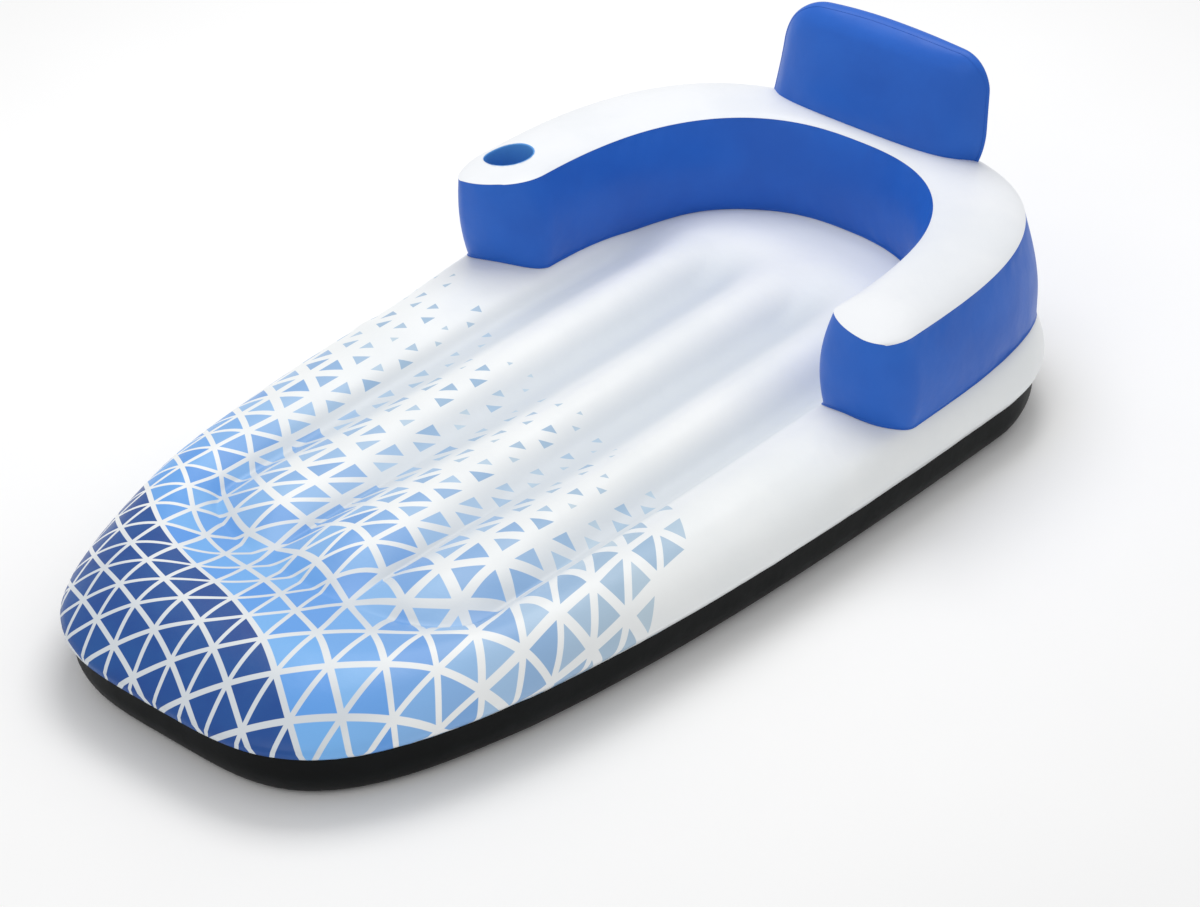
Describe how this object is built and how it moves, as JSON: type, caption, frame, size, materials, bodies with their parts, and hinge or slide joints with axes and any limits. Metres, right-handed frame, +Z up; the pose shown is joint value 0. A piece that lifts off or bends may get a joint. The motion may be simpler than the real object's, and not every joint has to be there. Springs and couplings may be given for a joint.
{
  "type": "inflatable pool lounge",
  "caption": "Inflatable pool air mattress with a channelled bed, raised rim, wrap-round backrest with arms, cup holder and headrest.",
  "frame": {"origin": "on the surface the lounge rests on, under the middle of its length and width", "axes": "+X across the width, +Y along the length towards the headrest, +Z up"},
  "size_m": [0.97, 1.83, 0.535],
  "materials": {
    "printed_vinyl": "gloss",
    "white_vinyl": "gloss",
    "blue_vinyl": "satin",
    "black_vinyl": "satin",
    "strip_vinyl": "satin",
    "clear_vinyl": "gloss"
  },
  "bodies": {
    "lounge": {"base_top_sheet": "printed_vinyl", "base_bottom_sheet": "black_vinyl", "tie_strip_left_border": "strip_vinyl", "tie_strip_left": "strip_vinyl", "tie_strip_right": "strip_vinyl", "tie_strip_right_border": "strip_vinyl", "tie_strip_foot": "strip_vinyl", "tie_strip_head": "strip_vinyl", "backrest_top_panel": "white_vinyl", "backrest_inner_wall": "blue_vinyl", "backrest_outer_wall": "blue_vinyl", "cup_holder": "blue_vinyl", "headrest_front_panel": "blue_vinyl", "headrest_back_panel": "blue_vinyl", "headrest_side_band": "blue_vinyl", "base_valve_rim": "clear_vinyl", "base_valve_skirt": "clear_vinyl", "backrest_valve_rim": "clear_vinyl", "backrest_valve_skirt": "clear_vinyl", "headrest_valve_rim": "clear_vinyl", "headrest_valve_skirt": "clear_vinyl"},
    "base_valve_stem": {"base_valve_stem": "clear_vinyl"},
    "base_valve_plug": {"base_valve_plug": "clear_vinyl"},
    "base_valve_flap": {"base_valve_flap": "clear_vinyl"},
    "backrest_valve_stem": {"backrest_valve_stem": "clear_vinyl"},
    "backrest_valve_plug": {"backrest_valve_plug": "clear_vinyl"},
    "backrest_valve_flap": {"backrest_valve_flap": "clear_vinyl"},
    "headrest_valve_stem": {"headrest_valve_stem": "clear_vinyl"},
    "headrest_valve_plug": {"headrest_valve_plug": "clear_vinyl"},
    "headrest_valve_flap": {"headrest_valve_flap": "clear_vinyl"}
  },
  "joints": [
    {"name": "base_valve_pull", "type": "slide", "parent": "lounge", "child": "base_valve_stem", "axis": [-0.8915, -0.0475, 0.4504], "range_m": [0, 0.016], "deforming": ["base_valve_skirt"]},
    {"name": "base_plug_flip", "type": "hinge", "parent": "base_valve_stem", "child": "base_valve_plug", "pos_m": [-0.46296, -0.0145, 0.12465], "axis": [0.4498, 0.0239, 0.8928], "range_deg": [0, 140]},
    {"name": "base_flap_swing", "type": "hinge", "parent": "base_valve_stem", "child": "base_valve_flap", "pos_m": [-0.44655, -0.01042, 0.11627], "axis": [-0.4498, -0.0239, -0.8928], "range_deg": [0, 60], "stiffness_Nm_per_rad": 0.0002},
    {"name": "backrest_valve_pull", "type": "slide", "parent": "lounge", "child": "backrest_valve_stem", "axis": [-0.3297, 0.9432, 0.0414], "range_m": [0, 0.016], "deforming": ["backrest_valve_skirt"]},
    {"name": "backrest_plug_flip", "type": "hinge", "parent": "backrest_valve_stem", "child": "backrest_valve_plug", "pos_m": [-0.27222, 0.86775, 0.22681], "axis": [0.0137, -0.0391, 0.9991], "range_deg": [0, 140]},
    {"name": "backrest_flap_swing", "type": "hinge", "parent": "backrest_valve_stem", "child": "backrest_valve_flap", "pos_m": [-0.26306, 0.85127, 0.22604], "axis": [-0.0137, 0.0391, -0.9991], "range_deg": [0, 60], "stiffness_Nm_per_rad": 0.0002},
    {"name": "headrest_valve_pull", "type": "slide", "parent": "lounge", "child": "headrest_valve_stem", "axis": [-0.034, 0.9991, 0.0243], "range_m": [0, 0.016], "deforming": ["headrest_valve_skirt"]},
    {"name": "headrest_plug_flip", "type": "hinge", "parent": "headrest_valve_stem", "child": "headrest_valve_plug", "pos_m": [-0.04969, 0.89295, 0.42487], "axis": [0.0008, -0.0243, 0.9997], "range_deg": [0, 140]},
    {"name": "headrest_flap_swing", "type": "hinge", "parent": "headrest_valve_stem", "child": "headrest_valve_flap", "pos_m": [-0.04585, 0.87447, 0.42442], "axis": [-0.0008, 0.0243, -0.9997], "range_deg": [0, 60], "stiffness_Nm_per_rad": 0.0002}
  ]
}
